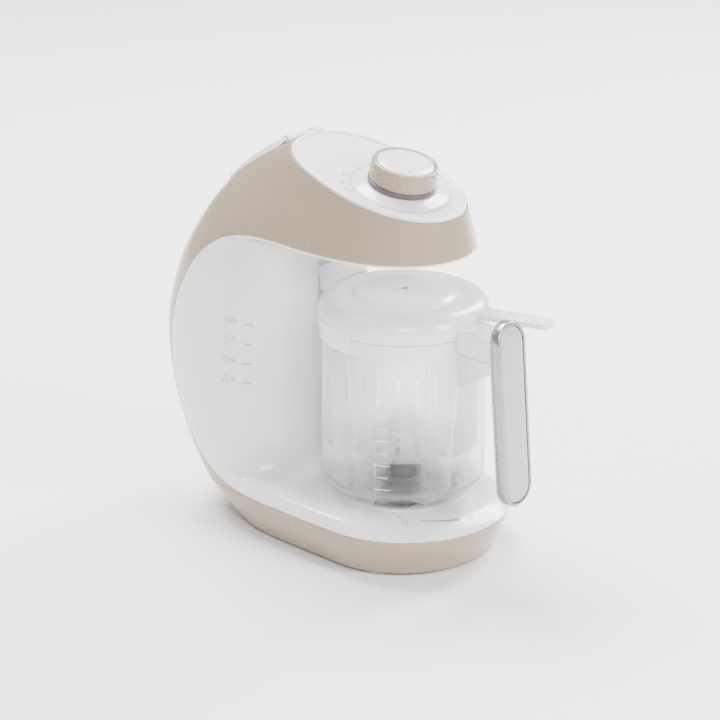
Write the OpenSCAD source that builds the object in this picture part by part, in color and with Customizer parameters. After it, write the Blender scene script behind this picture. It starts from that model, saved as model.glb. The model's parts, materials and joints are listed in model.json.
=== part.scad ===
// Countertop baby food maker: steam-and-blend base with a C-shaped body, tilted
// control panel and a clear jug that turns and locks on the base.
// The jug axis is vertical. z = 0 is the table, -Y is the handle side.

/* [Body] */
// Half-width of the body at the parting line above the base band
body_w = 75.5; // [74:0.5:77]
// Height of the parting line between base band and deck
deck_z = 31; // [30.5:0.25:31.5]
// Height of the head's lower edge
head_z = 222; // [221:0.5:223]
// Shell thickness
wall = 2.6; // [2.2:0.1:3]
// Radius of the round back profile
back_r = 154.7; // [153:0.1:156]
// Tilt of the control panel in degrees
panel_tilt = 13.6; // [13:0.1:14.2]

/* [Jug] */
// Outer radius of the jug wall
jug_r = 57.8; // [57:0.1:58]
// Height of the jug's bottom
jug_bottom = 50; // [49.5:0.1:50.5]
// Radius of the lid skirt
lid_r = 60.5; // [60.2:0.1:61]
// Angle of the lid's grip tab from the handle, degrees
tab_angle = 17; // [15:0.5:19]
// Radius to the end of the grip tab
tab_r = 112; // [108:0.5:114]

/* [Handle] */
// Half-width of the grip
grip_w = 14; // [13:0.25:15]
// Length of the grip
grip_len = 131; // [125:1:133]
// Lean of the grip in degrees
grip_lean = 4.96; // [4.5:0.02:5.4]

/* [Knob] */
// Radius of the timer knob
knob_r = 23.5; // [22:0.1:24]
// Height of the knob above the panel
knob_h = 20; // [18:0.5:21]

/* [Drive] */
// Pitch radius of the pulley on the motor
motor_pulley_r = 11; // [10:0.5:12]
// Pitch radius of the pulley under the jug
drive_pulley_r = 22; // [20:0.5:24]

/* [Hidden] */

jug_y = -44.66;     // jug axis in the part's frame
belt_y = 116;       // motor axis behind the jug axis
nb = 24;            // steps round half a section
$fn = 64;

// ---- form of the body: half-width, squareness and centre of the rear lobe by height
WT = [[2,66],[10,69.2],[20,72.8],[31,75.5],[60,73.8],[100,71],[140,68.2],[180,65],[205,62.6],
      [222,60.5],[240,55.5],[255,50],[268,45.5],[280,41],[290,36]];
NT = [[0,3],[60,3.6],[128,4],[180,3.4],[222,2.6],[262,2.15],[290,2.1]];
YT = [[0,50],[128,60],[180,50],[222,34],[262,28],[290,28]];
// front of the white body: tip and centre of the front lobe by height
TT = [[31,-75.8],[33,-72.8],[35.5,-68],[38,-61.5],[40,-54],[41.2,-47],[41.8,-38],[42.2,20],
      [42.8,38],[44,46],[47,53],[52,58.5],[60,62],[75,64.5],[100,65],[222,65]];
CT = [[31,-0.3],[35.5,15],[40,40],[41.8,70],[42.2,90],[44,102],[52,110],[75,115],[222,115]];
wk = body_w / 75.5;
bc_y = 45.3; bc_z = 135;
tilt_k = tan(panel_tilt);
panel_z0 = 260.2;
function W(z) = lookup(z, WT) * wk;
function nz(z) = lookup(z, NT);
function y0(z) = lookup(z, YT);
function yb(z) = bc_y + sqrt(max(0, back_r*back_r - (z - bc_z)*(z - bc_z)));
function yf(z) = -49.6 + 0.24*(z - 222);
function sp(v, p) = sign(v) * pow(abs(v), p);
// closed section of the head and back, t is the inward offset
function hp(a, z, t=0) = let(c = cos(a), s = sin(a), n = s >= 0 ? nz(z) : 2.1,
    b = s >= 0 ? yb(z) - t - y0(z) : y0(z) - yf(z) - t)
  [(W(z) - t) * sp(c, 2/n), y0(z) + b * sp(s, 2/n), z];
// closed section of the base band
function bp(a, z, t=0) = let(c = cos(a), s = sin(a), n = s >= 0 ? nz(z) : 2,
    cf = 2.3 - 2.6*(z - 2)/29, w = W(z) - t)
  s >= 0 ? [w * sp(c, 2/n), y0(z) + (yb(z) - t - y0(z)) * sp(s, 2/n), z]
         : [w * c, cf + w * s, z];
// border between side panel and shell
bz_c = (deck_z + head_z)/2; bz_h = (head_z - deck_z)/2;
function yB(z) = let(u = min(1, abs((z - bz_c)/bz_h)))
  50 + 125 * pow(max(0, 1 - u*u), 1/(z < bz_c ? 3.2 : 2.9));
// start angle of the shell strip at height z
function aB(z) = let(v = (yB(z) - y0(z))/(yb(z) - y0(z)))
  v <= 0 ? 0 : asin(pow(min(1, v), nz(z)/2));
// white body: y runs from the front tip (s = 0) to the border (s = 1)
function fbk(y, z, t) = let(v = max(0, y - y0(z))/(yb(z) - t - y0(z)))
  pow(max(0, 1 - pow(min(1, v), nz(z))), 1/nz(z));
function wp(s, z, t=0) = let(tp = lookup(z, TT) + t, cf = lookup(z, CT),
    yy = yB(z) - 1 - t*max(0, (yB(z) - y0(z))/(yb(z) - y0(z))),
    y = tp + (yy - tp)*s*s, v = min(1, max(0, cf - y)/(cf - tp)),
    k = lookup(z, [[31,0],[35,1],[44,1],[72,0]])*(1 - s*s*s*s))
  [sign(s)*(W(z) - t)*fbk(y, z, t)*sqrt(1 - v*v), y, z - (t > 0 ? t*k : 0)];
// height where the head meets the panel plane lowered by d
function ztop(a, t, d, lo, hi, n) = n == 0 ? (lo + hi)/2 :
  let(m = (lo + hi)/2, p = hp(a, m, t))
  m > panel_z0 - d/cos(panel_tilt) + tilt_k*p[1] ? ztop(a, t, d, lo, m, n - 1) : ztop(a, t, d, m, hi, n - 1);
// outline of the panel in its own plane
function outline(t, d=0) = [for (i = [0:4*nb - 1]) let(a = 360*i/(4*nb),
    p = hp(a, ztop(a, t, d, 223, 289, 16), t)) [p[0], p[1]/cos(panel_tilt) + d*tan(panel_tilt)]];

module at_jug() { translate([0, jug_y, 0]) children(); }
module at_panel(v=0) { at_jug() translate([0, 0, panel_z0]) rotate([panel_tilt, 0, 0]) translate([0, v, 0]) children(); }
module tube(h, r, ri, z=0) { translate([0,0,z]) difference() { cylinder(h=h, r=r); translate([0,0,-1]) cylinder(h=h + 2, r=ri); } }

// solid between two grids of points
module slab(A, B, closed=false, flip=false) {
  n = len(A); m = len(A[0]); N = n*m; mj = closed ? m : m - 1;
  pts = concat([for (r = A) each r], [for (r = B) each r]);
  q = concat(
    [for (i = [0:n-2], j = [0:mj-1]) let(k = (j+1)%m) [i*m+j, i*m+k, (i+1)*m+k, (i+1)*m+j]],
    [for (i = [0:n-2], j = [0:mj-1]) let(k = (j+1)%m) [N+i*m+j, N+(i+1)*m+j, N+(i+1)*m+k, N+i*m+k]],
    [for (j = [0:mj-1]) let(k = (j+1)%m) [k, j, N+j, N+k]],
    [for (j = [0:mj-1]) let(k = (j+1)%m, e = (n-1)*m) [e+j, e+k, N+e+k, N+e+j]],
    closed ? [] : [for (i = [0:n-2]) [i*m, (i+1)*m, N+(i+1)*m, N+i*m]],
    closed ? [] : [for (i = [0:n-2]) [(i+1)*m+m-1, i*m+m-1, N+i*m+m-1, N+(i+1)*m+m-1]]);
  tri = [for (f = q) each [[f[0], f[1], f[2]], [f[0], f[2], f[3]]]];
  polyhedron(points=pts, faces=flip ? [for (f = tri) [f[2], f[1], f[0]]] : tri, convexity=8);
}

// ---------- base ----------
module base_band() color([0.76,0.70,0.62]) at_jug() {
  zs = [2, 3, 10, 20, deck_z - 0.15];
  difference() {
    slab([for (z = zs) [for (i = [0:2*nb-1]) bp(180*i/nb, z, z < 2.5 ? 0.8 : 0)]],
         [for (z = zs) [for (i = [0:2*nb-1]) bp(180*i/nb, z, wall + (z < 2.5 ? 0.4 : 0))]], closed=true);
    translate([38, 100, 14]) rotate([-90, 0, 0]) cylinder(h=60, r=6.1);
  }
}
module base_plate() color([0.80,0.78,0.75]) at_jug() difference() {
  translate([0,0,2.1]) linear_extrude(2.4) polygon([for (i = [0:2*nb-1]) let(p = bp(180*i/nb, 2, wall + 0.8)) [p[0], p[1]]]);
  for (x = [-40, 40], y = [-34, 84]) translate([x, y, 0]) cylinder(h=9, r=1.7);
  for (i = [-3:3]) translate([i*8 - 1.5, 100, 0]) cube([3, 14, 9]);
}
module rubber_feet() color([0.85,0.83,0.80]) at_jug()
  for (x = [-50, 50], y = [-22, 66]) translate([x, y, 0]) cylinder(h=2.1, r=8);
module screws() color([0.7,0.7,0.72]) at_jug() {
  for (x = [-40, 40], y = [-34, 84]) translate([x, y, 1.1]) { cylinder(h=1, r=3.2); cylinder(h=11, r=1.6); }
  for (x = [-33, 33], y = [91, 114]) translate([x, y, 4.6]) { cylinder(h=21, r=1.55); translate([0,0,19.4]) cylinder(h=2.4, r=2.6); cylinder(h=15.8, r=4); }
}
drow = [deck_z, 31.6, 32.2, 33, 34.2, 35.5, 38, 40, 41.2, 41.8, 42.2, 42.8, 44, 47];
module deck() color([0.95,0.95,0.96]) at_jug() {
  zs = drow;
  n = 28;
  difference() {
    slab([for (z = zs) [for (i = [-n:n]) wp(i/n, z)]], [for (z = zs) [for (i = [-n:n]) wp(i/n, z, wall)]], flip=true);
    translate([0,0,20]) cylinder(h=40, r=46.3);
  }
}
module jug_seat() color([0.93,0.93,0.94]) at_jug() difference() {
  union() {
    tube(2, 46, 5, 30);
    tube(10.4, 46, 44, 31.8);
    tube(1.2, 46.2, 44, 41.1);
    for (a = [45:90:359]) rotate(a) translate([24, -3, 27]) cube([16, 6, 3.1]);
  }
  for (a = [0:90:359]) rotate(a) translate([18.5, 0, 20]) cylinder(h=20, r=1.3);
}
// ---------- white side walls ----------
prow = [47.25, 52, 60, 75, 95, 115, 135, 155, 166, 180, 192, 203, 211, 217, 220.5, head_z - 0.3];
module wall_strip(s0, s1, n, zs, flip) slab([for (z = zs) [for (i = [0:n]) wp(s0 + (s1 - s0)*i/n, z)]],
    [for (z = zs) [for (i = [0:n]) wp(s0 + (s1 - s0)*i/n, z, wall)]], flip=flip);
module side_panel_left() color([0.95,0.95,0.96]) at_jug() difference() {
  wall_strip(-1, -0.16, 20, prow, true);
  translate([-19.7, 40, 163.1]) cube([40, 60, 70]);
}
module side_panel_right() color([0.95,0.95,0.96]) at_jug() difference() {
  wall_strip(0.16, 1, 20, prow, true);
  translate([-19.7, 40, 163.1]) cube([100, 45.6, 70]);
}
module column_front() color([0.94,0.94,0.95]) at_jug()
  wall_strip(-0.155, 0.155, 8, [47.25, 52, 60, 75, 110, 140, 163.1], true);
module column_outline(t) polygon([for (i = [-24:24]) let(p = wp(i/24*0.95, 200, t)) [p[0], p[1]]]);
module steam_recess() color([0.90,0.90,0.92]) at_jug() difference() {
  intersection() {
    translate([0,0,163.3]) linear_extrude(58.2) column_outline(0.2);
    union() {
      translate([-19.5, 60, 163.3]) cube([74, 25.4, 2.5]);
      translate([-19.5, 83, 163.3]) cube([74, 2.4, 58.2]);
      translate([-19.5, 60, 163.3]) cube([2.4, 25.4, 58.2]);
    }
  }
  translate([0, 70, 180]) rotate([-90,0,0]) cylinder(h=30, r=5.05);
}
// ---------- beige shell ----------
hole_a = 54.5;
module radial(a, s) { translate([0, bc_y + s*cos(a), bc_z + s*sin(a)]) rotate([a - 90, 0, 0]) children(); }
pin_a = 70.6; pin_s = 154.9;
module head_shell() color([0.76,0.70,0.62]) at_jug() {
  m = 7;
  difference() {
    slab([for (j = [0:m]) [for (i = [0:4*nb-1]) let(a = 90*i/nb, zt = ztop(a, 0, 1.5, 223, 289, 14)) hp(a, head_z + (zt - head_z)*j/m)]],
         [for (j = [0:m]) [for (i = [0:4*nb-1]) let(a = 90*i/nb, zt = ztop(a, wall, 1.5, 223, 289, 14)) hp(a, head_z + (zt - head_z)*j/m, wall)]], closed=true);
    radial(hole_a, back_r - 30) cylinder(h=50, r=16.2);
    translate([-18, bc_y + pin_s*cos(pin_a), bc_z + pin_s*sin(pin_a)]) rotate([0,90,0]) cylinder(h=36, r=3.4);
  }
}
module back_shell() color([0.76,0.70,0.62]) at_jug() {
  zs = concat(drow, prow, [head_z - 0.05]);
  slab([for (z = zs) let(a0 = aB(z) + 0.01) [for (i = [0:32]) hp(a0 + (180 - 2*a0)*i/32, z)]],
       [for (z = zs) let(a0 = aB(z) + 0.01) [for (i = [0:32]) hp(a0 + (180 - 2*a0)*i/32, z, wall)]]);
}
module head_underside() color([0.96,0.96,0.97]) at_jug() difference() {
  translate([0,0,head_z + 0.3]) linear_extrude(2.4) intersection() {
    polygon([for (i = [0:4*nb-1]) let(p = hp(90*i/nb, head_z + 2.8, wall + 0.3)) [p[0], p[1]]]);
    translate([-100, -100]) square([200, 182]);
  }
  for (x = [-30, 30], y = [-18, 40]) translate([x, y, 200]) cylinder(h=40, r=1.6);
}
// ---------- control panel ----------
kv = 4.3;
module control_panel() color([0.93,0.93,0.95]) difference() {
  at_panel() translate([0,0,-2.6]) linear_extrude(2.6) polygon(outline(4.2));
  at_panel(kv) translate([0,0,-10]) cylinder(h=20, r=5);
}
module panel_rim() color([0.97,0.97,0.98]) {
  at_panel() translate([0,0,-1.3]) linear_extrude(2.3) difference() { polygon(outline(0.25)); polygon(outline(4.1)); }
  at_jug() difference() {
    translate([-8.5, bc_y, bc_z]) rotate([pin_a, 0, 0]) {
      translate([0, pin_s, 0]) rotate([0,90,0]) cylinder(h=17, r=2.2);
      translate([0, pin_s - 0.6, 0]) cube([17, 1.8, 5.6]);
    }
    translate([-30, bc_y + pin_s*cos(pin_a), bc_z + pin_s*sin(pin_a)]) rotate([0,90,0]) cylinder(h=60, r=1.2);
  }
}
module knob_bezel() color([0.95,0.95,0.96]) at_panel(kv) difference() {
  cylinder(h=2.9, r1=33, r2=24.6);
  translate([0,0,-1]) cylinder(h=6, r=5);
  translate([0,0,2]) cylinder(h=6, r=21);
}
module knob_ring() color([0.42,0.38,0.39]) at_panel(kv) tube(3.2, knob_r + 0.3, 12, 3.3);
module knob_grip() color([0.76,0.70,0.62]) at_panel(kv) difference() {
  union() {
    translate([0,0,6.5]) cylinder(h=knob_h - 6.5, r=knob_r);
    translate([0,0,3.3]) cylinder(h=3.3, r=12);
  }
  translate([0,0,knob_h - 3]) cylinder(h=5, r=20.2);
  translate([0,0,-1]) cylinder(h=14, r=3);
}
module knob_cap() color([0.97,0.97,0.98]) at_panel(kv) rotate_extrude() polygon(concat([[0, knob_h - 2.9], [19.8, knob_h - 2.9]],
  [for (i = [0:12]) [19.8*cos(i*7.5), knob_h - 0.6 + 2.2*sin(i*7.5)]]));
module knob_shaft() color([0.7,0.7,0.72]) at_panel(kv) translate([0,0,-14]) cylinder(h=26.5, r=3);
module rotary_switch() color([0.25,0.25,0.27]) at_panel(kv) difference() {
  union() { translate([-14,-14,-19]) cube([28,28,13]); translate([0,0,-7]) cylinder(h=4.2, r=4.9); }
  translate([0,0,-15]) cylinder(h=20, r=3.05);
}
module control_board() color([0.12,0.40,0.22]) at_panel() difference() {
  translate([-26,-28,-23.2]) cube([52,82,1.6]);
  for (x = [-22,22], y = [-24,50]) translate([x,y,-30]) cylinder(h=12, r=1.6);
}
// ---------- tank lid ----------
function lp(x, z, o) = let(n = nz(z), y = y0(z) + (yb(z) - y0(z))*pow(1 - pow(abs(x)/W(z), n), 1/n), k = 1 + o/back_r)
  [x, bc_y + (y - bc_y)*k, bc_z + (z - bc_z)*k];
la0 = 39; la1 = 68.2;
function lw(a) = let(u = (a - la0)/(la1 - la0)) 23.2*(1 - 0.5*pow(max(0, u - 0.78)/0.22, 2))*pow(max(0.02, 1 - pow(1 - min(1, u*1.6), 3)), 0.5);
module tank_lid() color([0.96,0.96,0.97]) at_jug() {
  rows = 14; cols = 12;
  slab([for (i = [0:rows]) let(a = la0 + (la1 - la0)*i/rows, z = bc_z + back_r*sin(a)) [for (j = [0:cols]) lp(lw(a)*(2*j/cols - 1), z, 2.0)]],
       [for (i = [0:rows]) let(a = la0 + (la1 - la0)*i/rows, z = bc_z + back_r*sin(a)) [for (j = [0:cols]) lp(lw(a)*(2*j/cols - 1), z, 0.35)]], flip=true);
}
module tank_lid_hinge() color([0.95,0.95,0.96]) at_jug() difference() {
  for (x = [-17, 9]) translate([x, bc_y, bc_z]) rotate([pin_a, 0, 0]) {
    translate([0, pin_s, 0]) rotate([0,90,0]) cylinder(h=8, r=2.4);
    translate([0, pin_s + 1.85, -6.2]) cube([8, 1.0, 6.2]);
  }
  translate([-30, bc_y + pin_s*cos(pin_a), bc_z + pin_s*sin(pin_a)]) rotate([0,90,0]) cylinder(h=60, r=1.26);
}
module tank_lid_plug() color([0.85,0.85,0.86]) at_jug() radial(hole_a, back_r - 7.8) union() {
  tube(3.6, 12.8, 10); translate([0,0,3.5]) cylinder(h=1.2, r=12.8); translate([0,0,4.6]) cylinder(h=2.9, r=6); }
module tank_hinge_pin() color([0.7,0.7,0.72]) at_jug() {
  translate([-17.6, bc_y + pin_s*cos(pin_a), bc_z + pin_s*sin(pin_a)]) rotate([0,90,0]) cylinder(h=35.2, r=1.2);
}
module water_tank() color([0.80,0.88,0.92,0.6]) at_jug() difference() {
  translate([-44, 152, 104]) cube([88, 19.5, 82]);
  translate([-42, 154, 106]) cube([84, 15.5, 78]);
  translate([-24, 154, 180]) cube([48, 12, 30]);
  translate([0, 145, 116.8]) rotate([-90,0,0]) cylinder(h=12, r=3);
}
module tank_filler() color([0.80,0.88,0.92,0.6]) at_jug() difference() {
  union() {
    translate([-26, 148, 186.1]) cube([52, 20, 25.9]);
    translate([-28, 96, 204]) cube([56, 54, 28]);
    radial(hole_a, back_r - 38) cylinder(h=34, r=15.6);
  }
  translate([-24, 154, 180]) cube([48, 12, 30]);
  translate([-26, 98, 206]) cube([52, 50, 24]);
  translate([-24, 140, 206]) cube([48, 20, 4]);
  radial(hole_a, back_r - 36) cylinder(h=40, r=13.6);
}
// ---------- steam ----------
module boiler() color([0.78,0.78,0.80]) at_jug() translate([0, 118, 0]) difference() {
  union() { translate([0,0,112]) cylinder(h=36, r=30); translate([0,0,147.9]) cylinder(h=2.1, r=33); translate([0,0,149.9]) cylinder(h=6, r=4.5); }
  translate([0,0,114]) cylinder(h=32, r=28);
  translate([0,0,140]) cylinder(h=30, r=2.6);
  translate([0,20,116.8]) rotate([-90,0,0]) cylinder(h=20, r=3);
}
module heater_ring() color([0.55,0.50,0.46]) at_jug() translate([0, 118, 0]) tube(5, 28, 12, 107);
module hoses() color([0.92,0.92,0.90]) at_jug() {
  translate([0, 118, 156]) tube(10, 5, 2.6);
  translate([0, 104, 166]) rotate([90,0,90]) rotate_extrude(angle=90) translate([14, 0]) difference() { circle(r=5); circle(r=2.6); }
  translate([0, 104, 180]) rotate([90,0,0]) tube(9, 5, 2.6);
  translate([0, 146, 116.8]) rotate([-90,0,0]) tube(8, 3, 1.6);
}
module steam_nozzle() color([0.30,0.30,0.32]) at_jug() translate([0, 95, 180]) rotate([90,0,0]) {
  tube(11.7, 5, 2.2); tube(2, 8, 2.2, 7.5); }
// ---------- drive ----------
module motor() color([0.62,0.62,0.65]) at_jug() translate([0, belt_y, 0]) difference() {
  union() { translate([0,0,24]) cylinder(h=62, r=29); translate([0,0,19]) cylinder(h=5.1, r=10); translate([0,0,85.9]) cylinder(h=5, r=10); }
  translate([0,0,10]) cylinder(h=90, r=4.04);
  for (a = [0:60:359]) rotate(a) translate([24, 0, 20]) cylinder(h=80, r=2.2);
}
module motor_bracket() color([0.75,0.75,0.73]) at_jug() difference() {
  translate([-38, 86, 20.5]) cube([76, 53, 3.4]);
  translate([0, belt_y, 10]) cylinder(h=30, r=10.1);
  for (x = [-33, 33], y = [91, 114]) translate([x, y, 10]) cylinder(h=30, r=1.6);
  for (a = [0:60:359]) translate([0, belt_y, 0]) rotate(a) translate([24, 0, 10]) cylinder(h=30, r=2.2);
}
module motor_shaft() color([0.7,0.7,0.72]) at_jug() translate([0, belt_y, 7]) cylinder(h=88, r=4);
module pulley(r) difference() {
  union() { cylinder(h=1.2, r=r + 1.6); cylinder(h=9, r=r - 1.2); translate([0,0,7.8]) cylinder(h=1.2, r=r + 1.6); }
  translate([0,0,-1]) cylinder(h=11, r=4); }
module motor_pulley() color([0.3,0.3,0.32]) at_jug() translate([0, belt_y, 7.5]) pulley(motor_pulley_r);
module drive_pulley() color([0.3,0.3,0.32]) at_jug() translate([0, 0, 7.5]) pulley(drive_pulley_r);
module belt_shape(o) { d = belt_y; r1 = drive_pulley_r + o; r2 = motor_pulley_r + o; al = asin((r1 - r2)/d);
  polygon(concat([for (i = [0:24]) let(a = 180 - al + (180 + 2*al)*i/24) [r1*cos(a), r1*sin(a)]],
    [for (i = [0:16]) let(a = al + (180 - 2*al)*i/16) [r2*cos(a), d + r2*sin(a)]])); }
module drive_belt() color([0.15,0.15,0.16]) at_jug() translate([0,0,9]) linear_extrude(6) difference() { belt_shape(1.0); belt_shape(-0.8); }
module drive_spindle() color([0.7,0.7,0.72]) at_jug() translate([0,0,6.6]) cylinder(h=29.4, r=4);
module spindle_bushes() color([0.72,0.58,0.34]) at_jug() { tube(4.5, 7.5, 4.04, 17.6); tube(4.5, 7.5, 4.04, 25.2); }
module bearing_housing() color([0.35,0.35,0.37]) at_jug() difference() {
  union() { translate([0,0,17.4]) cylinder(h=12.5, r=12); translate([0,0,27]) cylinder(h=2.9, r=21.5); }
  translate([0,0,10]) cylinder(h=30, r=7.5);
  for (a = [0:90:359]) rotate(a) translate([18.5, 0, 20]) cylinder(h=20, r=1.3);
}
module drive_coupling() color([0.25,0.24,0.26]) at_jug() difference() {
  union() { translate([0,0,32.8]) cylinder(h=5.2, r=15.7); translate([-7,-2,37.9]) cube([14,4,5]); }
  translate([0,0,30]) cylinder(h=6, r=4);
}
module lock_ring() color([0.86,0.86,0.88]) at_jug() union() {
  tube(8, 43.4, 38.6, 32.6);
  for (a = [60:120:359]) rotate(a) translate([38, -5, 38.2]) cube([5, 10, 3.1]);
}
module interlock_switch() color([0.2,0.2,0.22]) at_jug() { translate([-10, 48.5, 14]) cube([20, 9, 12]); translate([-2, 50.5, 25.9]) cube([4, 5, 3]); }
module cord_gland() color([0.3,0.3,0.32]) at_jug() translate([38, 0, 14]) rotate([-90,0,0]) translate([0,0,126]) difference() {
  cylinder(h=23.5, r=6);
  translate([0,0,-1]) cylinder(h=30, r=3.6); }
// ---------- jug ----------
module jug_bowl() color([0.85,0.90,0.93,0.35]) at_jug() {
  r = jug_r; b = jug_bottom; ri = r - 2.2;
  rotate_extrude() polygon(concat([[6.1, b + 0.6], [36.9, b]],
      [for (i = [0:6]) [r - 8 + 8*sin(i*15), b + 8 - 8*cos(i*15)]],
      [[r, 169], [ri, 169], [ri, 158], [ri - 2.1, 158], [ri, 154.5]],
      [for (i = [6:-1:0]) [ri - 6.4 + 6.4*sin(i*15), b + 9.2 - 6.4*cos(i*15)]], [[6.1, b + 2.8]]));
}
module jug_foot() color([0.85,0.90,0.93,0.35]) at_jug() difference() {
  tube(17.6, 36.7, 34.3, jug_bottom - 17.7);
  for (a = [0:60:359]) rotate(a) translate([30, -6, jug_bottom - 14]) cube([10, 12, 7]);
}
module jug_collar() color([0.93,0.93,0.94]) at_jug() tube(10.6, 59.4, jug_r, 157.8);
gy = -98.6; gz = 123.3;
module at_grip() { at_jug() translate([0, gy, gz]) rotate([-grip_lean, 0, 0]) rotate([90, 0, 0]) children(); }
module oval(w, h) { translate([-w, -(grip_len/2 - grip_w), 0]) cube([2*w, grip_len - 2*grip_w, h]);
  for (s = [-1,1]) translate([0, s*(grip_len/2 - grip_w), 0]) cylinder(h=h, r=w); }
module handle_body() color([0.96,0.96,0.97]) union() {
  at_grip() translate([0,0,-6]) oval(grip_w - 0.6, 9.6);
  at_jug() difference() {
    translate([-12, -91, 160.2]) cube([24, 36, 17.5]);
    translate([0,0,150]) cylinder(h=40, r=60.9);
    translate([0,0,140]) cylinder(h=28.6, r=59.4);
  }
  at_jug() difference() { translate([-12, -66, 160.2]) cube([24, 12, 8.2]); translate([0,0,150]) cylinder(h=40, r=59.4); }
}
module handle_trim() color([0.78,0.78,0.80]) at_grip() difference() {
  translate([0,0,3.6]) oval(grip_w, 2.6);
  translate([0,0,3]) oval(grip_w - 2.1, 6);
}
module handle_insert() color([0.93,0.88,0.87]) at_grip() translate([0,0,3.6]) oval(grip_w - 2.1, 3.0);
module handle_bracket() color([0.80,0.79,0.86,0.6]) at_jug() difference() {
  translate([-9, 0, 0]) rotate([90, 0, 90]) linear_extrude(18) polygon([[-50,160.2],[-88,160.2],[-88,152],[-80,147],[-70,143],[-63,137],[-50,135]]);
  translate([0,0,120]) cylinder(h=60, r=jug_r);
  translate([0,0,157.7]) cylinder(h=60, r=59.5);
  at_grip_local() translate([0,0,-6.05]) oval(grip_w, 20);
}
module at_grip_local() { translate([0, gy, gz]) rotate([-grip_lean, 0, 0]) rotate([90, 0, 0]) children(); }
// ---------- blade ----------
module blade_bearing() color([0.55,0.55,0.58]) at_jug() difference() {
  union() { translate([0,0,38.7]) cylinder(h=11.6, r1=11, r2=12.4); translate([0,0,50.2]) cylinder(h=3.2, r=6); }
  translate([0,0,38]) cylinder(h=9.6, r=9.3);
  translate([0,0,30]) cylinder(h=30, r=3.04);
}
module jug_coupling() color([0.25,0.24,0.26]) at_jug() difference() {
  union() { translate([0,0,44.6]) cylinder(h=2.6, r=8.8);
    for (s = [-1,1]) translate([-1.5, s > 0 ? 4.5 : -8.0, 39.4]) cube([3, 3.5, 5.3]); }
  translate([0,0,44]) cylinder(h=6, r=3);
}
module blade_shaft() color([0.7,0.7,0.72]) at_jug() translate([0,0,44.7]) cylinder(h=26, r=3);
module blade_hub() color([0.16,0.18,0.20]) at_jug() difference() {
  union() { translate([0,0,53.8]) cylinder(h=7, r=13); translate([0,0,60.7]) cylinder(h=9, r1=10, r2=6.4); translate([0,0,69.6]) cylinder(h=3, r=6.4); }
  translate([0,0,50]) cylinder(h=21, r=3);
}
// crescent blade: leading edge and trailing edge are arcs
module crescent(r) { polygon(concat([for (i = [0:16]) let(u = i/16) [5 + (r - 5)*u, 7.5*sin(180*u) - 3]],
    [for (i = [16:-1:0]) let(u = i/16) [5 + (r - 5)*u, 7.5*sin(180*u) - 3 - 8.5*(1 - u) - 0.6 - 3*sin(180*u)]])); }
module blades() color([0.82,0.82,0.84]) at_jug() difference() {
  for (s = [0, 180]) rotate(s) {
    translate([0,0,62]) rotate([0, -7, 0]) linear_extrude(1.4) crescent(38);
    rotate(75) translate([0,0,66.2]) rotate([0, -16, 0]) linear_extrude(1.4) crescent(24);
  }
  translate([0,0,50]) cylinder(h=30, r=6.4);
  translate([0,0,60.7]) cylinder(h=9, r1=10, r2=6.4);
}
module steam_basket() color([0.88,0.92,0.94,0.4]) at_jug() difference() {
  union() { tube(78.5, 52, 50.2, 80); translate([0,0,80]) cylinder(h=2, r=52); tube(2, 54.9, 50.2, 158.2);
    tube(20, 9, 7.2, 80); }
  for (a = [0:15:359]) rotate(a) translate([45, -2.6, 121]) cube([10, 5.2, 22]);
  for (a = [0:15:359]) rotate(a) translate([45, -2.0, 86]) cube([10, 4, 16]);
  for (a = [0:30:359], q = [20, 32, 43]) rotate(a + q) translate([q, -1.2, 78]) cube([6, 2.4, 8]);
  translate([0,0,78]) cylinder(h=10, r=7.2);
}
// ---------- lid ----------
module jug_lid() color([0.96,0.96,0.95]) at_jug() {
  r = lid_r;
  union() {
    rotate_extrude() polygon([[2.4,190.3],[20,190],[30,189.6],[33,189],[34.8,187.8],[40,187.4],[48,186.4],[54,184.6],[57.5,182.2],[59.6,178.6],[r,174],[r,168.75],
        [58.3,168.75],[58.3,171.6],[56,171.6],[56,176],[54.6,180],[50,182.6],[40,184.6],[30,185.6],[20,187],[2.4,187.6]]);
    difference() { translate([-15, 40, 176.4]) cube([30, 41, 11.8]); translate([0,0,100]) cylinder(h=100, r=52); translate([0, 30, 180]) rotate([-90,0,0]) cylinder(h=60, r=4); }
    rotate(tab_angle) translate([0, -(tab_r - 7.5), 178.6]) { cylinder(h=4.4, r=7.5); translate([-7.5, 0, 0]) cube([15, tab_r - 7.5 - 57.2, 4.4]);
      for (i = [0:4]) translate([-5.5, 1 + 4.2*i, 4.3]) cube([11, 1.6, 0.9]); }
    for (a = [169.6, 349.6]) rotate(a) intersection() { tube(15, 61.1, 59.75, 159.6); translate([0, -16.5, 150]) cube([70, 33, 30]); }
  }
}
module lid_seal() color([0.80,0.82,0.84]) at_jug() tube(2.2, 58, 54.9, 169.3);

base_band();
base_plate();
rubber_feet();
screws();
deck();
jug_seat();
side_panel_left();
side_panel_right();
column_front();
steam_recess();
head_shell();
back_shell();
head_underside();
control_panel();
panel_rim();
knob_bezel();
knob_ring();
knob_grip();
knob_cap();
knob_shaft();
rotary_switch();
control_board();
tank_lid();
tank_lid_hinge();
tank_lid_plug();
tank_hinge_pin();
water_tank();
tank_filler();
boiler();
heater_ring();
hoses();
steam_nozzle();
motor();
motor_bracket();
motor_shaft();
motor_pulley();
drive_belt();
drive_pulley();
drive_spindle();
spindle_bushes();
bearing_housing();
drive_coupling();
lock_ring();
interlock_switch();
cord_gland();
jug_bowl();
jug_foot();
jug_collar();
handle_bracket();
handle_body();
handle_trim();
handle_insert();
blade_bearing();
blade_hub();
blades();
blade_shaft();
jug_coupling();
steam_basket();
jug_lid();
lid_seal();
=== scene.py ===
import bpy, bmesh, json, math
import numpy as np
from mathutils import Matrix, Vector
from mathutils.bvhtree import BVHTree


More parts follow.
